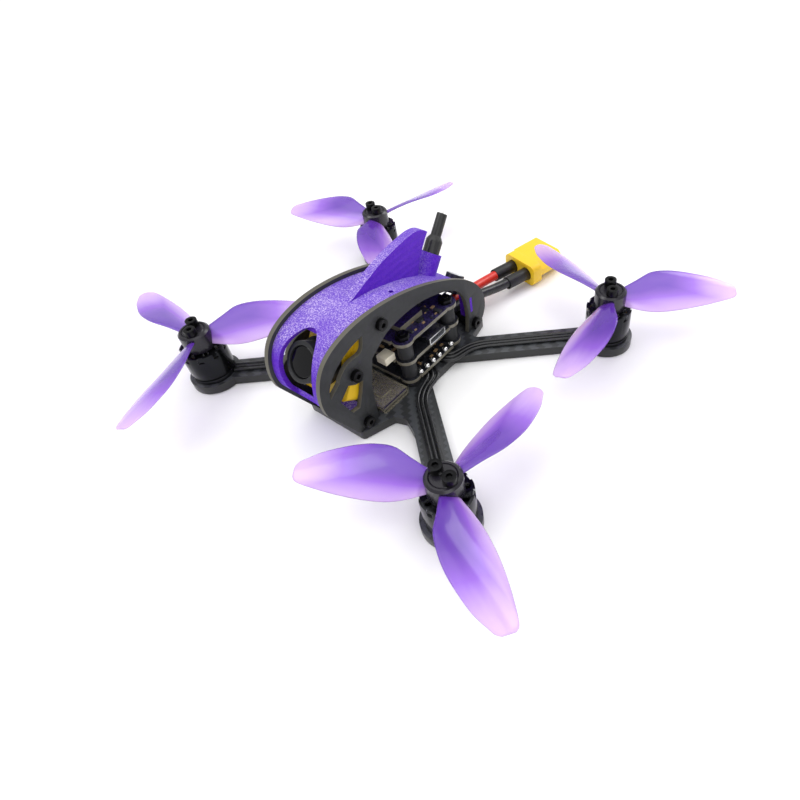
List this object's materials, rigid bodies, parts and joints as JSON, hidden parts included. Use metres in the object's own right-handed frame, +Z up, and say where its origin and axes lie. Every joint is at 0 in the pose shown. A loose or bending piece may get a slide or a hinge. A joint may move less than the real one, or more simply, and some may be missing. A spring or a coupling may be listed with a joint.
{
  "type": "fpv racing drone",
  "caption": "Compact racing quadcopter with a carbon frame between two arched side plates, a tilting forward camera, spinning three-blade propellers and a battery pigtail.",
  "frame": {"origin": "centre of the base plate's underside", "axes": "+Z up, the nose points to -Y, the drone's left is +X"},
  "size_m": [0.1704, 0.1552, 0.0469],
  "materials": {
    "carbon": "satin",
    "printed_purple": "matte",
    "prop_purple": "glossy",
    "bell_dark": "satin",
    "magnet_steel": "satin",
    "shaft_steel": "polished",
    "screw_black": "satin",
    "copper": "satin",
    "stator_steel": "satin",
    "standoff_alloy": "satin",
    "board_black": "satin",
    "solder": "glossy",
    "port_metal": "satin",
    "white_nylon": "matte",
    "button_white": "matte",
    "grommet_rubber": "matte",
    "can_metal": "satin",
    "clear_shrink": "glossy",
    "black_shrink": "satin",
    "whip_translucent": "glossy",
    "yellow_plastic": "satin",
    "lens_black": "satin",
    "lens_glass": "glossy",
    "gold_pins": "polished",
    "lead_black": "satin",
    "lead_red": "satin"
  },
  "bodies": {
    "root": {"antenna_sleeve": "black_shrink", "antenna_whip": "whip_translucent", "base_plate": "carbon", "canopy": "printed_purple", "capacitor": "can_metal", "connector_housing": "yellow_plastic", "connector_pins": "gold_pins", "esc_board": "board_black", "esc_solder_joints": "solder", "fc_board": "board_black", "grommets": "grommet_rubber", "lead_sleeves": "black_shrink", "motor_base_front_left": "bell_dark", "motor_base_front_right": "bell_dark", "motor_base_rear_left": "bell_dark", "motor_base_rear_right": "bell_dark", "motor_bearings": "shaft_steel", "motor_screws": "screw_black", "motor_wires": "lead_black", "power_lead_black": "lead_black", "power_lead_red": "lead_red", "receiver_board": "board_black", "receiver_sleeve": "clear_shrink", "side_plate_left": "carbon", "side_plate_right": "carbon", "side_plate_screws": "screw_black", "stack_nuts": "screw_black", "stack_screws": "screw_black", "standoffs": "standoff_alloy", "stator_windings": "copper", "stators": "stator_steel", "usb_port": "port_metal", "vtx_board": "board_black", "wire_connector": "white_nylon"},
    "rotor_front_left": {"motor_bell_front_left": "bell_dark", "rotor_magnets_front_left": "magnet_steel", "motor_shaft_front_left": "shaft_steel", "propeller_front_left": "prop_purple", "prop_screws_front_left": "screw_black"},
    "rotor_front_right": {"motor_bell_front_right": "bell_dark", "rotor_magnets_front_right": "magnet_steel", "motor_shaft_front_right": "shaft_steel", "propeller_front_right": "prop_purple", "prop_screws_front_right": "screw_black"},
    "rotor_rear_left": {"motor_bell_rear_left": "bell_dark", "rotor_magnets_rear_left": "magnet_steel", "motor_shaft_rear_left": "shaft_steel", "propeller_rear_left": "prop_purple", "prop_screws_rear_left": "screw_black"},
    "rotor_rear_right": {"motor_bell_rear_right": "bell_dark", "rotor_magnets_rear_right": "magnet_steel", "motor_shaft_rear_right": "shaft_steel", "propeller_rear_right": "prop_purple", "prop_screws_rear_right": "screw_black"},
    "camera": {"camera_housing": "yellow_plastic", "camera_board": "board_black", "camera_lens": "lens_black", "lens_glass": "lens_glass", "camera_screws": "screw_black"},
    "button": {"channel_button": "button_white"}
  },
  "joints": [
    {"name": "rotor_front_left_spin", "type": "hinge", "parent": "root", "child": "rotor_front_left", "pos_m": [0.0501, -0.0413, 0], "axis": [0, 0, 1], "continuous": true},
    {"name": "rotor_front_right_spin", "type": "hinge", "parent": "root", "child": "rotor_front_right", "pos_m": [-0.0501, -0.0413, 0], "axis": [0, 0, 1], "continuous": true},
    {"name": "rotor_rear_left_spin", "type": "hinge", "parent": "root", "child": "rotor_rear_left", "pos_m": [0.0501, 0.0413, 0], "axis": [0, 0, 1], "continuous": true},
    {"name": "rotor_rear_right_spin", "type": "hinge", "parent": "root", "child": "rotor_rear_right", "pos_m": [-0.0501, 0.0413, 0], "axis": [0, 0, 1], "continuous": true},
    {"name": "camera_tilt", "type": "hinge", "parent": "root", "child": "camera", "pos_m": [0, -0.03, 0.0232], "axis": [1, 0, 0], "range_deg": [-10, 20]},
    {"name": "button_press", "type": "slide", "parent": "root", "child": "button", "axis": [0, 0, -1], "range_m": [0, 0.00025], "stiffness_N_per_m": 300}
  ]
}
